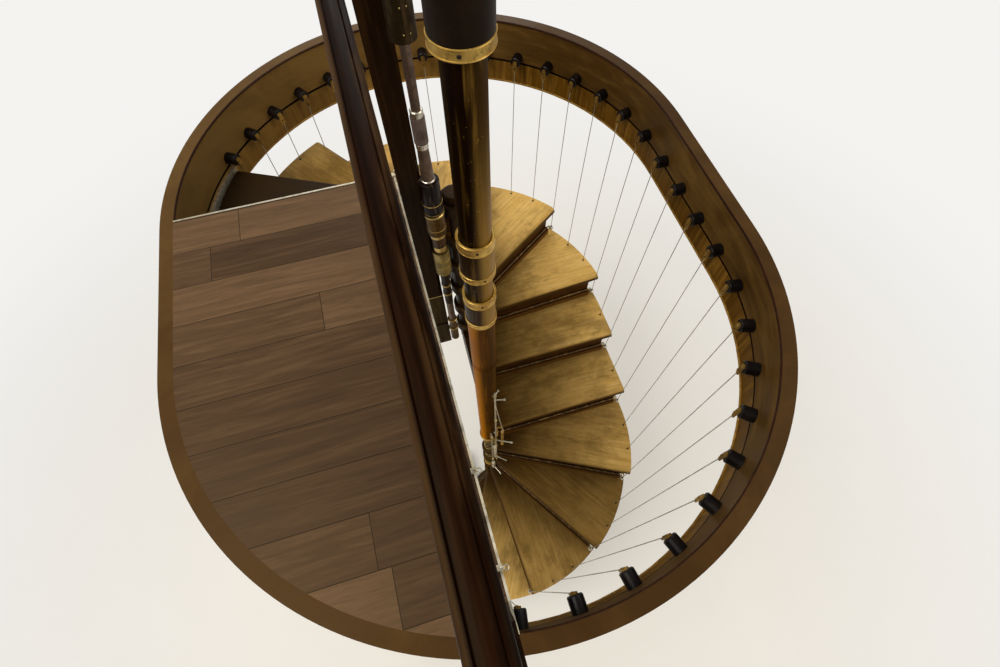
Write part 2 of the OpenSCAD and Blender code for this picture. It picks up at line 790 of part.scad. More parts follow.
tread_01();
tread_02();
tread_03();
tread_04();
tread_05();
tread_06();
tread_07();
tread_08();
tread_09();
tread_10();
tread_11();
tread_12();
tread_13();
tread_14();
tread_15();
risers();
tread_bars();
inner_string();
bottom_block();
band_near_right();
band_near_left();
band_far_right();
band_far_left();
band_sides();
wire_pegs();
wire_ends();
wires();
column_base();
column_neck();
column_amber();
column_collars();
column_tubes();
column_rings();
column_sleeve();
keywork();
far_newel();
far_tubes();
far_barrels();
far_rings();
far_sleeves();
newel_board();
landing_deck();
landing_beam();
edge_strips();
handrail();
balusters();
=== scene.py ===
# %% [markdown]
# # A hanging spiral staircase, dressed
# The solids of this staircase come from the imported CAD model: planks, posts, pegs, wires and rings are
# already in their places. This lesson gives every surface its finish, adds what is too fine for the
# solids, such as screws, rivets and beads, and sets up the floor, the lamps and the camera. Everything
# is in metres. Z points up from the lower floor, the near column stands on the origin, and +Y runs
# towards the far end of the well.

# %% Load the frame
import bpy
import math
import numpy as np
from mathutils import Matrix


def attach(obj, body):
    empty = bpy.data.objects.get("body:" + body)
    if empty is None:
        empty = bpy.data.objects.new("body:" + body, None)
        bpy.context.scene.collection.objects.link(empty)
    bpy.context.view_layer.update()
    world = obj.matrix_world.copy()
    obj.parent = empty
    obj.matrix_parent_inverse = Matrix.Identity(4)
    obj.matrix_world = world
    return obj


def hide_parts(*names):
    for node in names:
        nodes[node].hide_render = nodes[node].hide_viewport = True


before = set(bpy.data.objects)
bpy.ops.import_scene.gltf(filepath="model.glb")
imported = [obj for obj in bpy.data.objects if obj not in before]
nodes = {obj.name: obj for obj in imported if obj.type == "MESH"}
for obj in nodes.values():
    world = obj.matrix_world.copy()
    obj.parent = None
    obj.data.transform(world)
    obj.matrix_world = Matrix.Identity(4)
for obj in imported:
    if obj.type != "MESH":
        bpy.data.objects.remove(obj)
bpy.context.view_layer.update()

# %% [markdown]
# ## The sizes that everything shares
# A stair like this is set out from the line on which its wires hang. Pegs stand along it at even steps,
# and every tread ends at one of them. If we keep the same line here, as a length that is counted from
# the near centre of the well, then screws, bushes and beads fall into place by themselves.

# %% Setting out the wires
TREADS, RISE, STOREY = 15, 0.185, 2.960
SPAN = 0.504                         # from the near to the far centre of the well
BAND_R, BAND_H = 0.846, 0.270        # the band's inner face and its height
WIRE_R, PEG_Z = 0.801, 2.818         # the wire line, and where the pegs hold it
SIDE_STEP, START = 0.1415, 0.026     # pegs along a straight side, and the tenth peg's place
NEAR_STEP, FAR_STEP = math.radians(10.12), math.radians(9.53)     # pegs round the two ends
NEWEL, FAR_AXIS = np.array([0.045, 0.545]), np.array([-0.041, 0.490])
NEAR_PASS = 0.025                    # near winders start this far in front of the column
UP = np.array([0.0, 0.0, 1.0])


def station(k):
    """Length along the wire line for wire k: even lengths on the straight sides, even angles round the
    two ends, counted back from the sixth and the tenth wire."""
    k = np.asarray(k, float)
    last = START - 18 * NEAR_STEP * WIRE_R
    return np.select(
        [k < 6, k < 10, k < 28],
        [START + 4 * SIDE_STEP + (6 - k) * FAR_STEP * WIRE_R,
         START + (10 - k) * SIDE_STEP,
         START - (k - 10) * NEAR_STEP * WIRE_R],
        last - (k - 28) * SIDE_STEP)


def place(s, r):
    """The plan point at length s along the wire line and distance r from the well's middle line: straight
    where s is on a side, and r times cosine and sine of the turned angle round either end."""
    s = np.asarray(s, float)
    a = np.where(s > SPAN, s - SPAN, s) / WIRE_R
    sides = [s < -math.pi * WIRE_R, (s >= 0) & (s <= SPAN)]
    x = np.select(sides, [-r + 0 * s, r + 0 * s], r * np.cos(a))
    y = np.select(sides, [-s - math.pi * WIRE_R, s], np.where(s > SPAN, SPAN, 0) + r * np.sin(a))
    return np.stack([x, y], -1)


def outward(s):
    """The way out from the middle line at length s, as a unit vector in plan."""
    return place(s, 1.0) - place(s, 0.0)


LEVEL = (7, 8, 15)                   # the treads that don't wind
last_wire = {1: -9}
for i in range(2, TREADS + 1):
    last_wire[i] = last_wire[i - 1] + (2 if i in LEVEL else 3)


def front_line(i):
    """Root and end of the front line of tread i, in plan. Winders of the far end start at the newel,
    level treads at the middle line, and near winders in front of the column."""
    s = station(last_wire[i])
    end, out = place(s, WIRE_R), outward(s)
    if i < LEVEL[0]:
        return NEWEL, end
    if i in LEVEL:
        return np.array([0.0, end[1]]), end
    return NEAR_PASS * np.array([out[1], -out[0]]), end


def tread_top(i):
    """Height of the top of tread i."""
    return STOREY - i * RISE


def raised(plan, z):
    """Plan points lifted to a height."""
    plan = np.atleast_2d(plan)
    return np.column_stack([plan, np.broadcast_to(z, len(plan))])


PEGS = np.arange(last_wire[1], last_wire[TREADS])
print("pegs:", len(PEGS), "front of the first tread ends at", front_line(1)[1].round(3))

# %% [markdown]
# ## Three ways to make a surface
# Nearly every added piece is one of three surfaces. A turned piece is a profile swung about an axis. A
# drawn piece is a section carried along a path. And a row of like pieces is one of them, computed once
# and then moved by a whole array of matrices. All three are grids of points, so one helper joins the
# points of any grid into four-sided faces. A surface here is three arrays: its points, the corners of
# its faces one after another, and the number of corners of each face. Small profiles are written in
# millimetres.

# %% Grids, turned pieces and hoops
def mm(*rows):
    """Points written in millimetres, as metres."""
    return 0.001 * np.array(rows, float)


def around(a):
    """Cosine and sine of angles: points of a circle of radius 1."""
    return np.column_stack([np.cos(a), np.sin(a)])


def arc(first, last, steps):
    """Points of the unit circle from one angle in degrees to another."""
    return around(np.radians(np.linspace(first, last, steps)))


def circle(sides):
    return around(np.linspace(0, 2 * math.pi, sides, endpoint=False))


def woven(rows, cols, round_rows=False):
    """Faces of a grid that is round along its rows: face (i, j) joins columns j and j + 1 of row i to
    those of row i + 1. Round rows also join the last row to the first."""
    i, j = np.meshgrid(np.arange(rows - (not round_rows)), np.arange(cols), indexing="ij")
    n, m = (i + 1) % rows, (j + 1) % cols
    return np.stack([i * cols + j, i * cols + m, n * cols + m, n * cols + j], -1).reshape(-1, 4)


def surface_of(points, *groups):
    """Points and groups of faces, one face a row, as the three arrays."""
    corners = np.concatenate([g.ravel() for g in groups])
    counts = np.concatenate([np.full(len(g), g.shape[1]) for g in groups])
    return np.asarray(points, float).reshape(-1, 3), corners, counts


def swung(section, sides):
    """Each (radius, height) pair, swung about Z: radius times cosine and sine of an even angle."""
    radius, height = np.asarray(section, float).T
    flat = radius[:, None, None] * circle(sides)
    return np.concatenate([flat, height[:, None, None] + 0 * flat[..., :1]], -1)


def lathe(profile, sides=24):
    """A solid turned piece. The profile starts and ends on the axis, at poles closed by triangles."""
    profile = np.asarray(profile, float)
    rows = len(profile) - 2
    j = np.arange(sides)
    n = (j + 1) % sides
    foot = np.stack([n, j, np.full(sides, rows * sides)], -1)
    crown = np.stack([j - sides, n - sides, np.full(sides, 1)], -1) + rows * sides
    poles = [[0, 0, profile[0, 1]], [0, 0, profile[-1, 1]]]
    points = np.concatenate([swung(profile[1:-1], sides).reshape(-1, 3), poles])
    return surface_of(points, woven(rows, sides), foot, crown)


def hoop(section, sides=48):
    """A ring: a closed section of (radius, height) pairs, anticlockwise, swung about Z."""
    return surface_of(swung(section, sides), woven(len(section), sides, round_rows=True))


def bead(radius, size, z=0.0, sides=8):
    """The round section of a bead on a ring of this radius."""
    return [radius, z] + size * circle(sides)


# %% [markdown]
# ## Paths and rows
# A drawn piece needs two directions at each point of its path, one across and one up, so that the
# section keeps its turn. For a path that lies in a plane, up is the way out of that plane and across is
# up times the path's own direction. A rod along a bent path is then only a drawn circle.

# %% Drawn pieces and rows of like pieces
def unit(ways):
    return ways / np.linalg.norm(ways, axis=-1, keepdims=True)


def drawn(path, section, up, closed=False):
    """Carries a section of (a, b) pairs along a path that lies square to up: point (i, j) is path_i plus
    a_j times across_i plus b_j times up, with across equal to up times the path's direction. Open ends
    are closed by the section itself."""
    path, section, up = (np.asarray(v, float) for v in (path, section, up))
    way = np.roll(path, -1, 0) - np.roll(path, 1, 0) if closed else np.gradient(path, axis=0)
    across = unit(np.cross(up, way))
    grid = path[:, None] + section[None, :, :1] * across[:, None] + section[None, :, 1:] * up
    rows, cols = grid.shape[:2]
    sides = woven(rows, cols, round_rows=closed)
    if closed:
        return surface_of(grid, sides)
    ends = np.stack([np.arange(cols)[::-1], np.arange(cols) + (rows - 1) * cols])
    return surface_of(grid, sides, ends)


def rod(path, radius, up, sides=10):
    """A round rod along a path that lies square to up."""
    return drawn(path, radius * circle(sides), up)


def repeated(surface, matrices):
    """Copies one surface by matrices. The corners of copy n are counted on by n times the points."""
    points, corners, counts = surface
    m = np.asarray(matrices, float)
    moved = np.einsum("nab,vb->nva", m[:, :3, :3], points) + m[:, None, :3, 3]
    corners = corners[None] + len(points) * np.arange(len(m))[:, None]
    return moved.reshape(-1, 3), corners.ravel(), np.tile(counts, len(m))


def standing(points, z_way=UP, x_way=UP):
    """Matrices that put a surface at each point with its own Z along z_way, and its X along x_way less
    its share along Z. Where the two ways agree, X takes the world's X instead."""
    points = np.atleast_2d(points)
    z = unit(np.broadcast_to(z_way, points.shape))
    x = np.broadcast_to(x_way, points.shape)
    x = np.where(np.abs((x * z).sum(1, keepdims=True)) > 0.99, (1.0, 0.0, 0.0), x)
    x = unit(x - (x * z).sum(1, keepdims=True) * z)
    m = np.tile(np.eye(4), (len(points), 1, 1))
    m[:, :3] = np.stack([x, np.cross(z, x), z, points], -1)
    return m


def gathered(*surfaces):
    """Several surfaces as one, each one's corners counted on by the points before it."""
    starts = np.cumsum([0] + [len(s[0]) for s in surfaces[:-1]])
    return (np.concatenate([s[0] for s in surfaces]),
            np.concatenate([s[1] + start for s, start in zip(surfaces, starts)]),
            np.concatenate([s[2] for s in surfaces]))


def screw_head(radius, height, sides=10):
    """A low dome on a short rim: radius times cosine and height times sine over a quarter turn."""
    dome = [radius, height] * arc(0, 90, 4)[:-1]
    dome[0, 1] = 0.0002
    return lathe([(0, -0.0006), (radius, -0.0006), *dome, (0, height)], sides)


def placed(name, data, matrix=None):
    """An object in the scene, moved by a matrix where one is given."""
    thing = bpy.data.objects.new(name, data)
    bpy.context.scene.collection.objects.link(thing)
    if matrix is not None:
        thing.matrix_world = Matrix(matrix.tolist())
    return thing


def show(name, surface, finish, crease=40.0, replaces=()):
    """Puts a surface into a mesh object at the origin, with its finish, riding on the one body. Edges
    sharper than the crease angle stay sharp."""
    points, corners, counts = surface
    mesh = bpy.data.meshes.new(name)
    mesh.vertices.add(len(points))
    mesh.vertices.foreach_set("co", points.ravel())
    mesh.loops.add(len(corners))
    mesh.loops.foreach_set("vertex_index", corners)
    mesh.polygons.add(len(counts))
    mesh.polygons.foreach_set("loop_start", np.cumsum(counts) - counts)
    mesh.polygons.foreach_set("use_smooth", np.ones(len(counts), bool))
    mesh.update(calc_edges=True)
    mesh.set_sharp_from_angle(angle=math.radians(crease))
    mesh.materials.append(finish)
    piece = placed(name, mesh)
    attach(piece, "root")
    if replaces:
        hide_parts(*replaces)
    print(name, len(points), "points", len(counts), "faces")


# %% [markdown]
# ## Mixing finishes
# A finish is a small network of nodes that reads the place of each point on the object. Old wood needs
# three layers: the colour of the timber, stretched streaks for the grain, and broad soft patches where
# wax has gone or hands and feet have polished it. Metal needs fewer colours but an uneven gloss. The
# helpers below build such layers, and each finish only mixes them. Colours are written as red, green
# and blue from 0 to 255.

# %% Helpers for finishes
WHITE = (1.0, 1.0, 1.0, 1.0)
WAX = (1.0, 0.74, 0.42, 1.0)      # old wax and shellac reflect a little warmer than the lamp
COAT_ROUGH = 0.2


def linear(colour):
    """A colour from 0 to 255 as the linear values that the shader uses. A socket is passed on."""
    if isinstance(colour, bpy.types.NodeSocket):
        return colour
    c = np.array(colour) / 255.0
    c = np.where(c <= 0.04045, c / 12.92, ((c + 0.055) / 1.055) ** 2.4)
    return (*c.tolist(), 1.0)


class Network:
    """The nodes of a material or of the world: add() makes a node and sets or links its inputs."""

    def __init__(self, owner):
        owner.use_nodes = True
        self.tree = owner.node_tree

    def feed(self, socket, value):
        if isinstance(value, bpy.types.NodeSocket):
            self.tree.links.new(value, socket)
        else:
            socket.default_value = value

    def add(self, kind, inputs=None, **settings):
        n = self.tree.nodes.new("ShaderNode" + kind)
        for key, value in settings.items():
            setattr(n, key, value)
        for key, value in (inputs or {}).items():
            self.feed(n.inputs[key], value)
        return n

    def blend(self, factor, a, b):
        return self.add("MixShader", {0: factor, 1: a, 2: b}).outputs[0]

    def close(self, output, shader):
        self.feed(self.tree.nodes[output].inputs["Surface"], shader)


class Finish(Network):
    """A material under construction, with the layers that several finishes share."""

    def __init__(self, name):
        self.material = bpy.data.materials.new(name)
        super().__init__(self.material)
        self.shader = self.tree.nodes["Principled BSDF"]
        self.place = self.add("TexCoord").outputs["Object"]

    def mapped(self, scale=(1, 1, 1), turn=0.0, centre=(0, 0, 0), start=None):
        """The place of a point in a pattern's own frame: measured from the centre, turned back about Z
        and stretched by the scale. This kind of Mapping node divides by its scale."""
        return self.add("Mapping", {
            "Vector": start or self.place, "Location": centre, "Rotation": (0, 0, turn),
            "Scale": tuple(1.0 / v for v in scale)}, vector_type="TEXTURE").outputs[0]

    def axes(self, vector=None):
        return self.add("SeparateXYZ", {0: vector or self.place}).outputs

    def noise(self, vector, scale, detail=4.0, rough=0.6, warp=0.0):
        return self.add("TexNoise", {"Vector": vector, "Scale": scale, "Detail": detail,
                                     "Roughness": rough, "Distortion": warp}).outputs["Fac"]

    def ramp(self, value, *stops, step=False):
        """Colours along a value, from stops of (place, colour)."""
        n = self.add("ValToRGB", {0: value})
        n.color_ramp.interpolation = "CONSTANT" if step else "LINEAR"
        elements = n.color_ramp.elements
        while len(elements) < len(stops):
            elements.new(0.5)
        for element, (at, colour) in zip(elements, stops):
            element.position = at
            element.color = linear(colour)
        return n.outputs["Color"]

    def span(self, value, a, b, low=0.0, high=1.0, kind="SMOOTHSTEP"):
        """Goes from low to high as the value goes from a to b."""
        return self.add("MapRange", {0: value, 1: a, 2: b, 3: low, 4: high},
                        interpolation_type=kind).outputs[0]

    def past(self, value, edge, half=0.001):
        """0 below an edge and 1 above it."""
        return self.span(value, edge - half, edge + half, kind="LINEAR")

    def gloss(self, patches, low, high):
        """A roughness that wanders between two values with soft patches."""
        return self.span(patches, 0.3, 0.7, low, high)

    def maths(self, a, b=0.0, kind="ADD"):
        return self.add("Math", {0: a, 1: b}, operation=kind).outputs[0]

    def times(self, a, b):
        return self.maths(a, b, "MULTIPLY")

    def flat(self, x, y):
        return self.add("CombineXYZ", {0: x, 1: y}).outputs[0]

    def length(self, x, y):
        """The square root of x squared plus y squared."""
        flat = self.flat(x, y)
        return self.add("VectorMath", {0: flat}, operation="LENGTH").outputs["Value"]

    def line(self, value, middle, half, soft=0.0006):
        """1 on a thin line where the value is within half of the middle, 0 elsewhere."""
        off = self.maths(self.maths(value, middle, "SUBTRACT"), kind="ABSOLUTE")
        return self.span(off, half, half + soft, 1.0, 0.0, "LINEAR")

    def mix(self, factor, a, b, kind="MIX"):
        return self.add("Mix", {0: factor, 6: linear(a), 7: linear(b)},
                        data_type="RGBA", blend_type=kind).outputs[2]

    def over(self, under, colour, value, a, b, low=0.0, high=1.0):
        """Lays a colour over another, from low to high as the value goes from a to b."""
        return self.mix(self.span(value, a, b, low, high), under, colour)

    def bump(self, height, strength, distance=0.001):
        return self.add("Bump", {"Height": height, "Strength": strength,
                                 "Distance": distance}).outputs[0]

    def surface(self, colour, rough, normal=None, metal=0.0, level=0.5, tint=WHITE, coat=0.0):
        values = {"Base Color": colour, "Roughness": rough, "Metallic": metal, "Coat Weight": coat,
                  "Coat Roughness": COAT_ROUGH, "Specular IOR Level": level, "Specular Tint": tint}
        if normal is not None:
            values["Normal"] = normal
        for key, value in values.items():
            self.feed(self.shader.inputs[key], value)
        return self.material

    def waxed(self, colour, rough, normal, level, coat=0.0):
        return self.surface(colour, rough, normal, level=level, tint=WAX, coat=coat)


def finish_node(name, material):
    """Gives a CAD node its finish by filling its material slots."""
    slots = nodes[name].data.materials
    if not slots:
        slots.append(material)
    for i in range(len(slots)):
        slots[i] = material


# %% [markdown]
# ## The treads
# Each tread is one thick plank of old oak under dark wax. Feet have taken the wax off it along the
# walking line, about half way out. The paler colour grows towards the outer end and differs from tread to
# tread, partly from wear and partly as painted light where treads were lit. The top step is painted in
# the landing's shade, the inner end and the underside are painted in shade, the strip behind the next
# nosing is painted darker, and the top edge of the nosing carries a painted highlight. The grain runs
# along the front, and no two winders lie in one direction, so each tread gets a finish of its own: X runs
# along its front and Y back from it.

# %% Worn oak for the treads
# how pale each tread is painted: partly wax gone with wear, partly painted light where treads were lit,
# as on the fifth and sixth
RUBBED_AND_LIT = {1: 0, 2: 0.36, 3: 0.8, 4: 1.1, 5: 1.45, 6: 1.85, 7: 0.9, 8: 0.76, 9: 0.7, 10: 0.24,
          11: 0.42, 12: 1.15, 13: 0.3, 14: 0.3, 15: 0.3}


def tread_finish(i):
    root, end = front_line(i)
    way = end - root
    f = Finish("tread oak %02d" % i)
    here = f.mapped(turn=math.atan2(way[1], way[0]), centre=(*root, tread_top(i)))
    x, y, z = f.axes(here)

    def pattern(scale, *settings):
        return f.noise(f.mapped(scale, start=here, centre=(i * 3.1, i * 1.7, i * 0.9)), *settings)

    streaks = pattern((2.2, 30, 30), 2.4, 7, 0.66, 0.4)
    pores = pattern((14, 420, 420), 1, 3, 0.7)
    patches = pattern((1, 1.5, 1.5), 5, 7, 0.68)
    scuffs = pattern((16, 34, 34), 3, 5, 0.75, 0.3)
    # paler where feet fall, more towards the outer end and the front, on the top face only: partly wear,
    # partly painted light on the outer end
    trodden_and_lit = f.times(f.span(x, 0.1, 0.72, kind="LINEAR"), f.span(y, 0.16, 0.42, 1, 0.65))
    rubbed_and_lit = f.times(trodden_and_lit, f.span(patches, 0.36, 0.64, 0.78, 1.18))
    rubbed_and_lit = f.times(f.times(rubbed_and_lit, f.span(z, -0.016, -0.002)), RUBBED_AND_LIT[i])
    timber = f.ramp(streaks, (0.28, (54, 33, 5)), (0.5, (74, 48, 9)), (0.74, (96, 67, 17)))
    pale = f.ramp(streaks, (0.25, (190, 148, 72)), (0.52, (214, 172, 94)), (0.75, (228, 192, 120)))
    colour = f.mix(f.maths(rubbed_and_lit, 1, "MINIMUM"), timber, pale)
    colour = f.over(colour, (54, 34, 6), patches, 0.36, 0.5, 0.22, 0)
    colour = f.over(colour, (60, 38, 9), scuffs, 0.56, 0.74, 0, 0.22)
    colour = f.over(colour, (32, 20, 5), pores, 0.34, 0.46, 0.35, 0)
    # painted highlight along the top edge of the nosing, and painted shade on its round and the underside
    nose_highlight = f.times(f.span(y, 0.004, 0.012, 1, 0), f.span(z, -0.014, -0.004))
    colour = f.mix(f.times(nose_highlight, 0.4), colour, (178, 138, 70))
    colour = f.over(colour, (44, 26, 8), z, -0.034, -0.014, 0.85, 0)
    if i == 1:                     # painted shade: the top step lies under the landing, in its shadow
        colour = f.mix(0.9, colour, (22, 12, 4))
    # darker in the corner under the riser of a level tread, and painted shade at the narrow end of a
    # winder, by the column
    corner = f.span(y, 0.22, 0.31, 0, 0.6) if i in (7, 8) else f.span(x, 0.05, 0.26, 0.6, 0)
    colour = f.mix(corner, colour, (38, 23, 7))
    rough = f.maths(f.gloss(patches, 0.4, 0.56), f.times(streaks, 0.1))
    height = f.maths(f.times(streaks, 0.6), f.times(pores, 0.5))
    return f.waxed(colour, rough, f.bump(height, 0.3), 0.16)


for i in range(1, TREADS + 1):
    finish_node("tread_%02d" % i, tread_finish(i))
print("tread finishes:", TREADS)

# %% [markdown]
# ## The risers
# Between two treads stands a dark board with a narrow foot strip in front of it. They are one solid, so
# the finish has to tell them apart. Every tread's top is a whole number of steps above the floor, so the
# height above the tread is what is left when the height is divided by one step.

# %% Dark boards between the treads
STRIP_TOP = 0.036


def riser_finish():
    f = Finish("dark riser boards")
    above = f.maths(f.axes()[2], RISE, "MODULO")
    grain = f.noise(f.mapped((6, 6, 60)), 2.4, 5, 0.62, 0.6)
    clouds = f.noise(f.place, 7)
    colour = f.ramp(grain, (0.28, (42, 20, 5)), (0.5, (68, 38, 10)), (0.74, (104, 66, 22)))
    colour = f.over(colour, (40, 22, 9), clouds, 0.38, 0.66, 0, 0.45)
    # painted highlight: the foot strip below STRIP_TOP is painted paler, as if lit along its top
    strip = f.span(above, STRIP_TOP - 0.0005, STRIP_TOP + 0.0005, 0.42, 0, "LINEAR")
    colour = f.mix(strip, colour, (124, 82, 30))
    colour = f.mix(f.line(above, STRIP_TOP + 0.0015, 0.0012), colour, (20, 11, 5))
    # painted shade at the top of the board, under the nosing of the tread above
    colour = f.over(colour, (26, 14, 7), above, 0.11, 0.135, 0, 0.6)
    return f.waxed(colour, f.gloss(clouds, 0.42, 0.58), f.bump(grain, 0.25), 0.16)


finish_node("risers", riser_finish())

# %% [markdown]
# ## The band round the well
# The band is stained wood in two tones. Above its joint it is a dark olive brown, and below it is golden
# brown with more gloss and an upright grain. The joint is a dark groove, and wear pales the lower edge.
# All of it is one finish: the height of the point picks the tone.

# %% Two tones for the band
JOINT_Z, LOW_Z = 2.792, STOREY - BAND_H


def band_finish():
    f = Finish("two tone band")
    x, y, z = f.axes()
    seam = f.past(z, JOINT_Z, 0.0005)
    brushed = f.noise(f.mapped((3, 3, 22)), 1.6, 5, 0.65, 0.5)
    clouds = f.noise(f.place, 3, 5, 0.62, 0.6)
    upright = f.noise(f.mapped((34, 34, 2.2)), 1.5, 5, 0.6, 0.4)
    upper = f.ramp(f.maths(f.times(brushed, 0.45), f.times(clouds, 0.55)),
                   (0.32, (44, 27, 5)), (0.5, (78, 53, 18)), (0.68, (118, 88, 40)))
    lower = f.ramp(upright, (0.26, (60, 35, 4)), (0.5, (100, 67, 14)), (0.76, (146, 106, 36)))
    colour = f.mix(seam, lower, upper)
    # painted light: the band is painted paler towards the far left, where light fell on it
    lit_far_left = f.maths(f.maths(y, f.times(x, 0.9), "SUBTRACT"), 0, "MAXIMUM")
    colour = f.over(colour, (150, 116, 62), lit_far_left, 0.5, 1.5, 0, 0.45)
    colour = f.over(colour, (50, 28, 6), clouds, 0.4, 0.62, 0, 0.4)
    colour = f.over(colour, (150, 112, 48), z, LOW_Z - 0.006, LOW_Z + 0.01, 1, 0)
    colour = f.mix(f.line(z, JOINT_Z, 0.0042), colour, (12, 6, 2))
    colour = f.over(colour, (50, 30, 12), z, STOREY - 0.0075, STOREY - 0.0045, 0, 0.55)
    rough = f.mix(seam, f.gloss(upright, 0.34, 0.48), f.gloss(brushed, 0.44, 0.6))
    return f.waxed(colour, rough, f.bump(f.mix(seam, upright, brushed), 0.22), 0.16)


band_oak = band_finish()
for name in ("band_near_right", "band_near_left", "band_far_right", "band_far_left", "band_sides"):
    finish_node(name, band_oak)
print("band finished")

# %% [markdown]
# ## Dark boards, the landing and the rail
# The landing is laid with long boards of smoked oak that run across it, with staggered ends. Boards are
# only very long bricks, so a brick pattern draws them: its joints give a dark line and a bump, and its
# random value gives each board its own shade. A white noise value slides each row along, so that no two
# rows have their ends in line.

# %% Landing, carcass and rail finishes
BOARD_W, BOARD_L = 0.128, 0.98


def landing_finish():
    f = Finish("smoked oak boards")
    x, y, _ = f.axes(f.mapped(centre=(0.13, 0.012, 0)))
    row = f.maths(f.maths(y, BOARD_W, "DIVIDE"), kind="FLOOR")
    slide = f.add("TexWhiteNoise", {"W": row}, noise_dimensions="1D").outputs["Value"]
    slid = f.flat(f.maths(x, f.times(slide, BOARD_L)), y)
    boards = f.add("TexBrick",
                   {"Vector": slid, "Color1": (0.1, 0.1, 0.1, 1), "Color2": (0.95, 0.95, 0.95, 1),
                    "Mortar": (0.5, 0.5, 0.5, 1), "Scale": 1, "Mortar Size": 0.001, "Mortar Smooth": 0.3,
                    "Bias": 0, "Brick Width": BOARD_L, "Row Height": BOARD_W}, offset=0)
    each = f.add("SeparateColor", {0: boards.outputs["Color"]}).outputs[0]
    moved = f.flat(f.times(each, 7), f.times(row, 3.3))
    seeded = f.add("VectorMath", {0: f.place, 1: moved}, operation="ADD").outputs[0]
    grain = f.noise(f.mapped((1.3, 20, 20), start=seeded), 2.4, 7, 0.62, 0.9)
    fine = f.noise(f.mapped((16, 330, 330), start=seeded), 1, 2, 0.6)
    oak = f.ramp(grain, (0.25, (48, 33, 21)), (0.5, (76, 55, 37)), (0.76, (106, 81, 57)))
    colour = f.mix(f.span(each, 0, 1, 0, 0.62, kind="LINEAR"), oak, (50, 35, 23))
    colour = f.over(colour, (136, 106, 76), each, 0.25, 0.75, 0.2, 0)
    colour = f.over(colour, (40, 27, 17), fine, 0.3, 0.44, 0.35, 0)
    joint = boards.outputs["Fac"]
    colour = f.mix(joint, colour, (24, 16, 10))
    height = f.maths(f.times(grain, 0.3), joint, "SUBTRACT")
    return f.waxed(colour, f.gloss(grain, 0.46, 0.6), f.bump(height, 0.5), 0.18)


def board_finish(name, way, dark, mid, light, gloss=0.45, coat=0, level=0.16):
    """Plain stained boards whose grain runs along one axis."""
    f = Finish(name)
    stretch, fine = [30] * 3, [300] * 3
    stretch[way], fine[way] = 1.4, 12
    grain = f.noise(f.mapped(stretch), 2, 6, 0.62, 0.7)
    pores = f.noise(f.mapped(fine), 1, 2)
    clouds = f.noise(f.place, 4, 3)
    colour = f.ramp(grain, (0.26, dark), (0.5, mid), (0.76, light))
    colour = f.over(colour, dark, clouds, 0.35, 0.65, 0, 0.4)
    colour = f.over(colour, dark, pores, 0.3, 0.44, 0.3, 0)
    normal = f.bump(f.maths(grain, f.times(pores, 0.4)), 0.25)
    return f.waxed(colour, f.gloss(clouds, gloss - 0.06, gloss + 0.1), normal, level, coat)


def rail_finish():
    """Nearly black wood, with painted light on the left roll and a painted highlight on the right half of
    the crown.
    """
    f = Finish("dark rail wood")
    x = f.axes()[0]
    grain = f.noise(f.mapped((40, 1.6, 40)), 2, 6, 0.62, 0.5)
    clouds = f.noise(f.mapped((9, 1, 9)), 3, 5, 0.65)
    colour = f.ramp(grain, (0.3, (11, 3, 1)), (0.5, (18, 6, 2)), (0.74, (36, 17, 7)))
    # painted light on the left roll and a painted highlight on the right half of the crown, broken up by
    # clouds
    left = f.times(f.span(x, -0.1955, -0.1905, 0.55, 0), f.span(clouds, 0.36, 0.6, 0.4, 1))
    right = f.times(f.span(x, -0.177, -0.169, 0, 0.6), f.span(clouds, 0.46, 0.64))
    colour = f.mix(right, f.mix(left, colour, (76, 54, 30)), (70, 48, 26))
    return f.waxed(colour, f.gloss(clouds, 0.38, 0.54), f.bump(grain, 0.2), 0.04)


carcass = board_finish("dark stained boards", 1, (26, 13, 4), (44, 25, 8), (68, 44, 18))
for name in ("inner_string", "bottom_block", "landing_beam"):
    finish_node(name, carcass)
finish_node("landing_deck", landing_finish())
finish_node("balusters", board_finish("dark baluster wood", 2, (16, 7, 4), (30, 16, 9), (56, 36, 22),
                                      0.42, level=0.12))
rail_wood = rail_finish()
print("boards and rail finished")

# %% [markdown]
# ## Metals
# Old plated metal isn't one grey. Broad soft clouds change its gloss, thin brushed lines run round it,
# and small spots of dirt lie on it. One function makes all the metals, from two colours, a dirt
# colour and a gloss.

# %% Brass, plate and wire
def metal_finish(name, main, second, dirt, gloss, metal=1, grime=0.45):
    f = Finish(name)
    clouds = f.noise(f.place, 16)
    lines = f.noise(f.mapped((8, 8, 90)), 4, 3)
    spots = f.noise(f.place, 60, 3, 0.7)
    colour = f.over(main, second, clouds, 0.35, 0.65)
    colour = f.over(colour, dirt, spots, 0.5, 0.68, 0, grime)
    rough = f.maths(f.gloss(clouds, gloss, gloss + 0.14), f.times(lines, 0.1))
    return f.surface(colour, rough, f.bump(lines, 0.12, 0.0006), metal)


brass = metal_finish("aged brass", (222, 184, 96), (178, 138, 62), (84, 62, 26), 0.3, 0.85, 0.5)
gilt = metal_finish("pale brass", (232, 208, 138), (200, 170, 96), (110, 84, 42), 0.38, 0.8)
fork = metal_finish("dull fork brass", (168, 134, 66), (126, 94, 40), (52, 36, 14), 0.42, 0.8, 0.7)
cream = metal_finish("cream enamel", (236, 226, 196), (220, 206, 168), (150, 128, 84), 0.3, 0.15)
plate = metal_finish("worn nickel plate", (222, 214, 194), (190, 180, 154), (104, 92, 70), 0.32, 0.85)
steel = metal_finish("drawn wire", (182, 178, 168), (146, 140, 128), (86, 80, 68), 0.3)
pewter = metal_finish("brown pewter", (128, 106, 90), (100, 80, 66), (52, 40, 32), 0.34, 0.8)
bronze = metal_finish("dark bronze", (78, 58, 32), (54, 38, 20), (24, 17, 10), 0.36, 0.8)
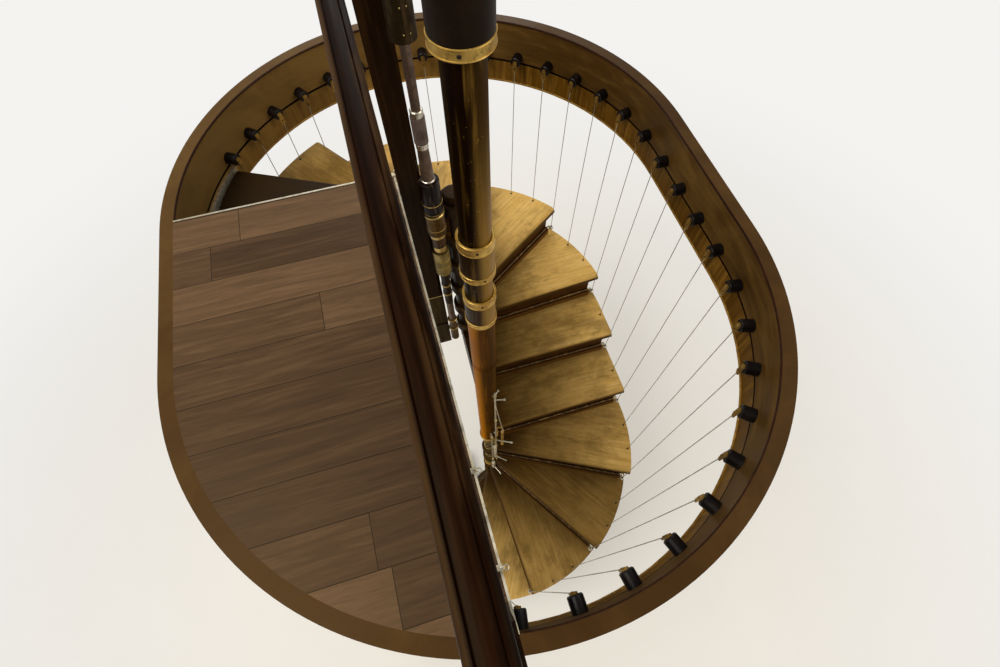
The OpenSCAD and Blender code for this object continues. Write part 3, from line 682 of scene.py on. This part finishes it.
iron = metal_finish("blackened iron", (52, 44, 38), (36, 30, 26), (20, 16, 13), 0.4, 0.8)
for name, metal in {"wire_ends": fork, "column_rings": brass, "keywork": plate, "edge_strips": plate,
                    "wires": steel, "far_tubes": pewter, "column_base": bronze,
                    "column_neck": bronze}.items():
    finish_node(name, metal)

BALL_REACH = 0.787


def bar_finish():
    """Browned bars with pale balls, told apart by the distance from the line between the two centres."""
    f = Finish("browned bars")
    x, y, _ = f.axes()
    past = f.maths(y, f.maths(f.maths(y, 0, "MAXIMUM"), SPAN, "MINIMUM"), "SUBTRACT")
    is_ball = f.past(f.length(x, past), BALL_REACH)
    clouds = f.noise(f.place, 40)
    worn = f.over((74, 52, 24), (140, 108, 60), clouds, 0.45, 0.7)
    ball = f.over((226, 218, 198), (196, 186, 160), clouds, 0.35, 0.65)
    normal = f.bump(clouds, 0.1, 0.0005)
    return f.surface(f.mix(is_ball, worn, ball), f.gloss(clouds, 0.34, 0.5), normal, 0.6)


finish_node("tread_bars", bar_finish())
print("metals: 9, and the bars")

# %% [markdown]
# ## The near column
# From the top down the near column has a dark leather sleeve, tubes of polished rosewood that slide into
# open collars, and a long tube under amber varnish. Rosewood and amber are both streaky wood under
# varnish, so they share one function. The stair side of the rosewood carries a painted golden reflection,
# stronger lower down, and the amber carries painted light towards the landing; the other side of each is
# painted in shade.

# %% Varnished tubes, leather and black pegs
COLUMN_TURN = 0.014               # the pale and the dark side meet this far left of the column's axis


def varnished(name, dark, mid, light, gloss, side=0, level=0.09):
    """Streaky wood under varnish, with painted light on the given side and painted shade on the other."""
    f = Finish(name)
    streak = f.noise(f.mapped((26, 26, 1.1)), 2.6, 6, 0.6, 0.5)
    clouds = f.noise(f.mapped((1, 1, 0.35)), 7, 4)
    specks = f.noise(f.place, 90, 2)
    colour = f.ramp(streak, (0.26, dark), (0.5, mid), (0.76, light))
    colour = f.over(colour, dark, clouds, 0.38, 0.62, 0, 0.6)
    colour = f.over(colour, light, specks, 0.66, 0.74, 0, 0.5)
    if side:
        x, _, z = f.axes()
        across = f.times(f.maths(x, COLUMN_TURN), side)
        # painted light: the given side is painted paler, more so lower down, and the other side gets
        # painted shade
        worn = f.times(f.span(across, 0, 0.026, 0, 0.95), f.span(clouds, 0.35, 0.6, 0.7, 1))
        colour = f.mix(f.times(worn, f.span(z, 3.65, 3.1, 0.1, 1)), colour, light)
        colour = f.over(colour, dark, across, -0.026, 0.004, 0.8, 0)
    return f.waxed(colour, f.gloss(clouds, gloss, gloss + 0.12), f.bump(streak, 0.1, 0.0008), level)


def leather_finish():
    f = Finish("waxed leather")
    cells = f.add("TexVoronoi", {"Vector": f.place, "Scale": 260}, feature="DISTANCE_TO_EDGE")
    grain = f.span(cells.outputs["Distance"], 0, 0.25)
    clouds = f.noise(f.place, 9)
    colour = f.over((22, 14, 9), (44, 30, 19), clouds, 0.35, 0.7)
    return f.waxed(colour, f.gloss(clouds, 0.4, 0.52), f.bump(grain, 0.18, 0.0004), 0.14)


def peg_finish():
    f = Finish("black pegs")
    clouds = f.noise(f.place, 30)
    colour = f.over((10, 6, 5), (34, 22, 13), clouds, 0.5, 0.75, 0, 0.8)
    normal = f.bump(f.noise(f.mapped((90, 90, 90)), 2, 3, 0.55), 0.08, 0.0005)
    return f.surface(colour, f.gloss(clouds, 0.34, 0.5), normal, level=0.22)


STAIR, LANDING = 1, -1
for name, *woods in (
        ("column_amber", (60, 36, 3), (104, 60, 1), (214, 132, 2), 0.34, LANDING, 0.02),
        ("column_tubes", (14, 4, 1), (30, 13, 3), (150, 112, 44), 0.28, STAIR, 0.04),
        ("column_collars", (28, 13, 3), (58, 35, 12), (156, 120, 54), 0.3, STAIR, 0.05),
        ("far_newel", (22, 10, 3), (46, 26, 9), (92, 66, 30), 0.34)):
    finish_node(name, varnished(name.replace("_", " "), *woods))
finish_node("column_sleeve", leather_finish())
finish_node("wire_pegs", peg_finish())
print("near column finished")

# %% [markdown]
# ## The far column
# The far column is a stack of short turned lengths in different metals and lacquers. The solids are
# grouped by what they do, so one finish has to change with height: a ramp with hard steps hands out the
# right colour for each length.

# %% Finishes that change with height
STACK_LOW, STACK_REACH = 1.7, 2.3


def stacked(name, steps, gloss, metal):
    """Picks a colour by height: each step is (height from which it holds, colour)."""
    f = Finish(name)
    height = f.span(f.axes()[2], STACK_LOW, STACK_LOW + STACK_REACH, kind="LINEAR")
    colour = f.ramp(height, *[((h - STACK_LOW) / STACK_REACH, c) for h, c in steps], step=True)
    clouds = f.noise(f.place, 22)
    streak = f.noise(f.mapped((40, 40, 5)), 2, 4)
    colour = f.mix(f.span(clouds, 0.4, 0.7, 0, 0.5), colour, (60, 44, 30), "MULTIPLY")
    colour = f.over(colour, (190, 170, 128), streak, 0.5, 0.75, 0, 0.14)
    normal = f.bump(streak, 0.15, 0.0006)
    return f.surface(colour, f.gloss(clouds, gloss, gloss + 0.18), normal, metal, 0.1)


finish_node("far_barrels", stacked("lacquered lengths", [
    (1.7, (96, 72, 44)), (2.1, (38, 25, 15)), (2.6, (70, 44, 22)), (2.75, (16, 4, 3)),
    (3.09, (98, 82, 74))], 0.3, 0))
finish_node("far_rings", stacked("brass and silver rings", [
    (1.7, (190, 160, 96)), (2.9, (208, 200, 184))], 0.24, 1))
finish_node("far_sleeves", stacked("riveted sleeves", [
    (1.7, (150, 130, 74)), (2.6, (84, 60, 20)), (3.2, (62, 48, 28))], 0.36, 0.75))

FIRST_STEP = 2.181


def corner_board_finish():
    """Red-brown above the first step in the board's face, olive below it."""
    f = Finish("olive corner board")
    grain = f.noise(f.mapped((24, 24, 1.6)), 2, 5, 0.62, 0.6)
    clouds = f.noise(f.place, 6)
    upper = f.ramp(grain, (0.28, (20, 8, 2)), (0.5, (34, 17, 5)), (0.75, (58, 35, 13)))
    lower = f.ramp(grain, (0.28, (38, 27, 12)), (0.5, (58, 44, 21)), (0.75, (84, 68, 36)))
    above = f.past(f.axes()[2], FIRST_STEP)
    return f.waxed(f.mix(above, lower, upper), f.gloss(clouds, 0.4, 0.56), f.bump(grain, 0.2), 0.12)


finish_node("newel_board", corner_board_finish())
print("far column finished")

# %% [markdown]
# ## Screws, bushes and ferrules of the wires
# Every wire has small hardware where it meets wood. On its peg a domed screw holds the fork. Where it
# passes through a tread it runs in a dark bush, and where it ends at a ball a ferrule grips it. There are
# dozens of each, so each is turned once, with few sides, and repeated along the wire line.

# %% Hardware of the wires
FORK_FRONT, BALL_DROP = 0.0025, 0.142     # forks in front of the wire line, balls below the tread tops

s = station(PEGS)
fork_face = raised(place(s, WIRE_R - FORK_FRONT), PEG_Z)
inward = raised(-outward(s), 0)
show("fork_screws", repeated(screw_head(0.0042, 0.0022), standing(fork_face, inward)), fork)

holes = np.concatenate([raised(place(station(np.arange(last_wire[i - 1] + 1, last_wire[i])), WIRE_R),
                               tread_top(i)) for i in range(2, TREADS + 1)])
bush = hoop(mm((2.1, -0.6), (5.6, -0.6), (5.6, 0.8), (4.6, 1.7), (2.1, 1.7)), 14)
show("tread_bushes", repeated(bush, standing(holes)), iron)

balls = np.concatenate([raised(front_line(i)[1], tread_top(i) - BALL_DROP) for i in range(1, TREADS)])
ferrule = hoop(mm((1.8, 10.5), (4.6, 10), (5, 13), (3.6, 18.5), (1.8, 19.5)), 14)
show("ball_ferrules", repeated(ferrule, standing(balls)), iron)

# %% [markdown]
# ## Beads and screws of the near column
# A turned ring is never a plain band: its two edges are rolled into beads, and a small screw at the back
# and the front keeps it from sliding. The ribs of the neck have such beads too, and these are the fine
# pale lines that show on it from above.

# %% Beads on rings and ribs
RINGS = [(0.931, 0.955, 0.039), (1.540, 1.563, 0.048), (2.829, 2.852, 0.048), (2.949, 2.982, 0.048),
         (3.082, 3.105, 0.048), (3.202, 3.235, 0.048), (3.708, 3.731, 0.055)]
NECK_LOW, NECK_TOP, RIBS = 0.978, 1.540, 6
SCREWS = [(0.0548, -108, 3.7195), (0.0478, -80, 3.0935), (0.0478, -95, 2.9655), (0.0478, -100, 3.2185)]


def beads(radii_and_heights, size, sides):
    """Round beads, one about Z at each (radius, height)."""
    return gathered(*[hoop(bead(r, size, z), sides) for r, z in radii_and_heights])


edges = [(r - 0.0008, z) for low, high, r in RINGS for z in (low + 0.0022, high - 0.0022)]
show("ring_beads", beads(edges, 0.0019, 48), brass)

rib = (NECK_TOP - NECK_LOW) / RIBS
ribs = np.concatenate([NECK_LOW + rib * (np.arange(RIBS) + part) for part in (0.03, 0.60)])
show("neck_beads", beads([(0.0318, z) for z in ribs], 0.0016, 36), gilt)


def round_column(axis, radius, angles, heights):
    """Points on a column's face and the ways out from it, for angles in degrees and heights."""
    way = around(np.radians(angles))
    return raised(np.add(axis, radius * way), heights), raised(way, 0)


def on_faces(screw, *faces):
    """One screw or rivet at every point of some faces, each face being points and ways out."""
    return repeated(screw, standing(*(np.concatenate(v) for v in zip(*faces))))


show("ring_screws", on_faces(screw_head(0.0040, 0.0018), *[
    round_column((0, 0), r, (a, a + 180), z) for r, a, z in SCREWS]), iron)

# %% [markdown]
# ## Rivets and lines of the far column
# The tall sleeve at the top of the far column is rolled from one sheet. Its edges meet in a flat seam
# that faces the stair, with a row of small pale rivets on each side. The pale block lower down has a row
# of rivets round each end, and fine brass lines run round it and the drums.

# %% Sleeve seam, rivets and lines
CUFF, SEAM_ANGLE = 0.0362, -78

seam_at, seam_way = round_column(FAR_AXIS, CUFF - 0.0006, np.full(9, SEAM_ANGLE),
                                 np.linspace(3.436, 3.920, 9))
flat = mm((-4.5, -0.4), (4.5, -0.4), (4.5, 0.8), (-4.5, 0.8))
show("sleeve_seam", drawn(seam_at, flat, seam_way[0]), bronze)

rows = np.arange(3.452, 3.91, 0.063)
beside = [round_column(FAR_AXIS, CUFF - 0.0002, np.full(len(rows), SEAM_ANGLE + side), rows)
          for side in (-14, 14)]
ends = [round_column(FAR_AXIS, 0.0338, np.arange(8) * 45 + 22.5, z) for z in (2.431, 2.551)]
show("sleeve_rivets", on_faces(screw_head(0.0019, 0.0010, 8), *beside, *ends), gilt)

far_lines = [(0.0366, 2.846), (0.0363, 2.801), (0.0371, 2.712), (0.0340, 2.470), (0.0340, 2.512)]
show("far_lines", repeated(beads(far_lines, 0.0013, 36), standing([*FAR_AXIS, 0])), brass)

# %% [markdown]
# ## Key work beside the near column
# The slim rods beside the near column look like the keys of a wind instrument. The solids give the rods,
# the arms and the touch piece. Added here are a lever that leans out from the long rod, a curved brass
# hook that it ends in, and small turned knobs where rods and arms meet.

# %% Lever, hook and knobs
def turned(profile, sides, *places):
    """A turned piece that stands at each of some places."""
    return repeated(lathe(profile, sides), standing(places))


LONG_ROD, SHORT_ROD = (0.024, -0.055), (0.000, -0.060)
HOOK_R, HOOK_AT = 0.0195, (0.041, -0.065, 1.741)

lever = mm((24, -60, 2130), (31, -62, 2050), (43, -66, 1900), (54, -70, 1785), (59.3, -71.7, 1741))
lean = np.cross(lever[-1] - lever[0], (1, 0, 0))
low_arm = mm((6, -66, 998), (16, -87, 996), (26, -108, 995), (32, -121, 995))
arm_end = turned(mm((0, -4.5), (3.4, -3.4), (4.8, 0), (3.4, 3.4), (0, 4.5)), 12, low_arm[-1])
show("key_lever", gathered(rod(lever, 0.0021, unit(lean), 8), rod(low_arm, 0.0026, UP, 8), arm_end),
     plate)

spindle = mm((0, 1212), (3.4, 1212), (4.6, 1232), (7, 1286), (9.4, 1346), (10.8, 1404), (10.4, 1442),
             (7.8, 1460), (4, 1470), (0, 1472))
cup = mm((0, 984), (8.2, 984), (11.2, 990), (11.2, 1006), (9.6, 1012), (9.6, 1082), (11.2, 1088),
         (11.2, 1100), (8.4, 1106), (0, 1107))
show("key_spindle", gathered(turned(spindle, 20, (0.0135, -0.0585, 0)),
                             turned(cup, 20, (0.002, -0.061, 0))), cream)

barrel = mm((0, 1482), (7.4, 1482), (9.2, 1486), (9.2, 1494), (7.8, 1498), (7.8, 1716), (9.2, 1720),
            (9.2, 1730), (7.4, 1736), (3.4, 1742), (0, 1742.5))
show("key_barrel", turned(barrel, 20, (0.0555, -0.0640, 0)), brass)

hook = HOOK_AT + HOOK_R * raised(arc(149, -20, 16), 0)
show("key_hook", rod(hook, 0.0026, UP, 8), brass)

knob = mm((0, 0), (5, 0), (6.6, 1.6), (6.6, 6), (4.6, 7.5), (4.6, 10.5), (5.8, 12), (5, 15), (0, 16.2))
show("key_knobs", turned(knob, 16, *[(*LONG_ROD, z) for z in (2.236, 1.905, 1.566, 1.446, 1.208, 1.150)],
                         *[(*SHORT_ROD, z) for z in (1.655, 1.185, 1.062)]), gilt)

# %% [markdown]
# ## Edges of the band and the landing
# The lower edge of the band has a half-round lip that catches the light, and a thin bead closes the band
# at its top where the well is open. Both are one half-round section, drawn along two half-circles and the
# straight sides between them. Three small clamps hold the metal strip on the landing edge, each with a
# short post and an eye that hangs over the well.

# %% Lip, top bead and strip clamps
def well_path(radius, z, near, far, steps):
    """An arc about each of the two centres, in one line: the radius times cosine and sine of the angle,
    with the span added to the far one. Each arc is given by its first and last angle in degrees."""
    ends = radius * arc(*near, steps), radius * arc(*far, steps) + [0, SPAN]
    return raised(np.concatenate(ends), z)


half_round = mm((-1, -4.5), (2.2, -3.8), (3.8, -1.4), (3.8, 1.4), (2.2, 3.8), (-1, 4.5))
lip_oak = board_finish("golden lip", 2, (92, 62, 20), (150, 112, 46), (190, 150, 76), 0.36, 0.15)
show("band_lip", drawn(well_path(BAND_R, LOW_Z + 0.005, (-180, 0), (0, 180), 48), half_round, UP, True),
     lip_oak)
edge_wood = board_finish("red-brown edge", 1, (26, 10, 6), (42, 18, 10), (66, 34, 18), 0.44, 0.05)
show("band_edge", drawn(well_path(BAND_R, STOREY - 0.0045, (-99.2, 0), (0, 177.4), 80), half_round, UP),
     edge_wood)

STRIP_X, CLAMPS_Y = -0.143, (0.527, -0.477, -0.700)
bridge = mm((-2.2, -12), (0, -12), (0, 0.4), (20, 0.4), (20, 2.4), (-1.2, 2.4), (-2.2, 1.4))
post = mm((0, 0), (4, 0), (4, 1.6), (2.4, 2.6), (2.2, 12), (3.6, 13.2), (3.6, 15.6), (0, 16.4))
clamp = gathered(
    drawn([(STRIP_X, -0.007, STOREY), (STRIP_X, 0.007, STOREY)], bridge, UP),
    turned(post, 14, (STRIP_X + 0.001, 0, STOREY + 0.0022)),
    repeated(hoop(bead(0.0056, 0.0016), 18), standing([STRIP_X + 0.0095, -0.0035, STOREY + 0.0006])),
    repeated(screw_head(0.0036, 0.0016), standing([STRIP_X - 0.012, 0, STOREY + 0.0026])))
moved = np.tile(np.eye(4), (len(CLAMPS_Y), 1, 1))
moved[:, 1, 3] = CLAMPS_Y
show("strip_clamps", repeated(clamp, moved), plate)

# %% [markdown]
# ## The moulded handrail
# The rail has a broad, hardly crowned top between two quarter-round rolls, with a shallow quirk between
# each roll and the top. The plain solid has one round top with flutes, so a drawn section takes its
# place on the same line and at the same height.

# %% Handrail
RAIL_X, RAIL_Z = -0.1785, 3.781

# the right half of the section, upwards: side, roll, quirk and crown
t = np.linspace(-0.15, 0.5, 8) * math.pi
x = np.linspace(10, 1.2, 6)
half = np.concatenate([
    mm((16.5, -60), (16.5, -38), (19, -35), (20, -30), (19.6, -24)),
    mm(*([12.5, -12.5] + [8.3, 8.6] * around(t))),
    mm((11.3, -4.8), (10.6, -3.7)),
    mm(*np.column_stack([x, -2.2 * (x / 10) ** 2]))])
section = np.concatenate([half, half[::-1] * [-1, 1]])
rail_line = [(RAIL_X, y, RAIL_Z) for y in (0.490, -0.160, -0.8115)]
show("moulded_rail", drawn(rail_line, section, UP), rail_wood, replaces=("handrail",))

# %% [markdown]
# ## Bolts of the foot and trims of the corner board
# Four bolts hold the foot plate to the floor, each with a washer and a nut. A nut is a turned piece with
# six sides, so the lathe makes it too. Two thin half-round trims cover the steps in the face of the
# corner board: a pale one above and a dark one below.

# %% Foot bolts and board trims
BOLT_CIRCLE, PLATE_TOP = 0.105, 0.014
bolt_at = raised(BOLT_CIRCLE * arc(45, 315, 4), PLATE_TOP)
washer = hoop(mm((6, 0), (13, 0), (13, 1.6), (12.2, 2.2), (6, 2.2)), 28)
nut = lathe(mm((0, 2.2), (9.8, 2.2), (11.2, 3.4), (11.2, 9.2), (9.4, 10.8), (0, 10.8)), 6)
stud = lathe(mm((0, -13.5), (5.8, -13.5), (5.8, 15.8), (4.4, 17.8), (2, 18.8), (0, 19)), 20)
show("foot_bolts", repeated(gathered(washer, nut, stud), standing(bolt_at)), bronze)

BOARD_X, BOARD_Y = (-0.1405, -0.0655), 0.512
trim = mm((1, -3), (1, 3), (-1.2, 2.6), (-2.6, 1), (-2.6, -1), (-1.2, -2.6))
for name, z, metal, slot in (("board_trim_pale", FIRST_STEP + 0.003, gilt, "pale_metal"),
                             ("board_trim_dark", 1.914, iron, "dark_metal")):
    show(name, drawn([(x, BOARD_Y, z) for x in BOARD_X], trim, UP), metal)

# %% [markdown]
# ## Floor, backdrop and lamps
# A pale plain floor under the foot plate takes the shadows, and fades into the background further out.
# Large soft lamps from above stand in for a bright room, at a level at which a colour looks as it is
# written. The world is a plain light grey that is white to the camera, and dimmer in reflections, so
# that dark wax and varnish stay dark.

# %% Pale floor
PAPER, SEEN, MIRRORED = (0.95, 0.94, 0.92, 1), 0.95, 0.50     # the background's colour and strengths
HALF = 14


def stage_finish():
    """A pale matt floor that takes the shadow and turns into the plain background further out."""
    f = Finish("pale floor")
    x, y, _ = f.axes()
    kind = f.add("LightPath").outputs
    seen = f.maths(kind["Is Camera Ray"], f.times(kind["Is Glossy Ray"], MIRRORED))
    f.surface(f.mix(f.noise(f.place, 3, 3, 0.55), (250, 246, 238), (246, 242, 233)), 0.85, level=0.2)
    glow = f.add("Emission", {"Color": PAPER, "Strength": f.times(seen, SEEN)}).outputs[0]
    far = f.times(f.span(f.length(x, y), 1, 6), f.span(seen, 0, 0.1))
    f.close("Material Output", f.blend(far, f.shader.outputs[0], glow))
    return f.material


sheet = bpy.data.meshes.new("studio_floor")
sheet.from_pydata([(-HALF, -HALF, 0), (HALF, -HALF, 0), (HALF, HALF, 0), (-HALF, HALF, 0)], [],
                  [(0, 1, 2, 3)])
sheet.materials.append(stage_finish())
placed("studio_floor", sheet)
print("floor", 2 * HALF, "m wide")

# %% Lamps
def lamp(name, place_at, aim, power, width, colour=(1, 1, 1)):
    """A square soft lamp at a place, turned to face a point."""
    data = bpy.data.lights.new(name, "AREA")
    data.energy, data.size, data.color = power, width, colour
    placed(name, data, standing(place_at, np.subtract(place_at, aim))[0])
    print("lamp", name, power, "W")


lamp("high left", (-2.8, -0.6, 6.6), (0.2, 0.3, 1.8), 190, 2.6, (1, 0.97, 0.92))
lamp("room side", (4.2, -1.8, 5.6), (0, 0.3, 2), 120, 3.6, (1, 0.94, 0.84))
lamp("behind", (0.8, 4.8, 5.2), (0, 0.3, 1.6), 80, 3)

# %% World
AMBIENT = 0.42

world = bpy.data.worlds.new("plain room")
bpy.context.scene.world = world
sky = Network(world)
ray = sky.add("LightPath").outputs
plain, mirrored, seen = (
    sky.add("Background", {"Color": PAPER, "Strength": strength}).outputs[0]
    for strength in (AMBIENT, MIRRORED, SEEN))
unseen = sky.blend(ray["Is Glossy Ray"], plain, mirrored)
sky.close("World Output", sky.blend(ray["Is Camera Ray"], unseen, seen))
bpy.context.scene.view_settings.view_transform = "Standard"
print("world strength", AMBIENT)

# %% [markdown]
# ## The camera
# The photograph was taken from the upper floor, over the rail and steeply down into the well with a wide
# lens. Its place and direction were worked out from the band's round ends, the pegs and the wires.

# %% Camera
eye = np.array([-0.1596, -0.7423, 4.1930])
look = np.array([0.1304, 0.4368, -0.8900])
top = np.array([0.2546, 0.8527, 0.4559])
lens = bpy.data.cameras.new("over the rail")
lens.sensor_width, lens.lens = 36, 18.03
lens.clip_start, lens.clip_end = 0.02, 60
bpy.context.scene.camera = placed("over the rail", lens, standing(eye, -look, np.cross(look, top))[0])
print("camera at", eye)
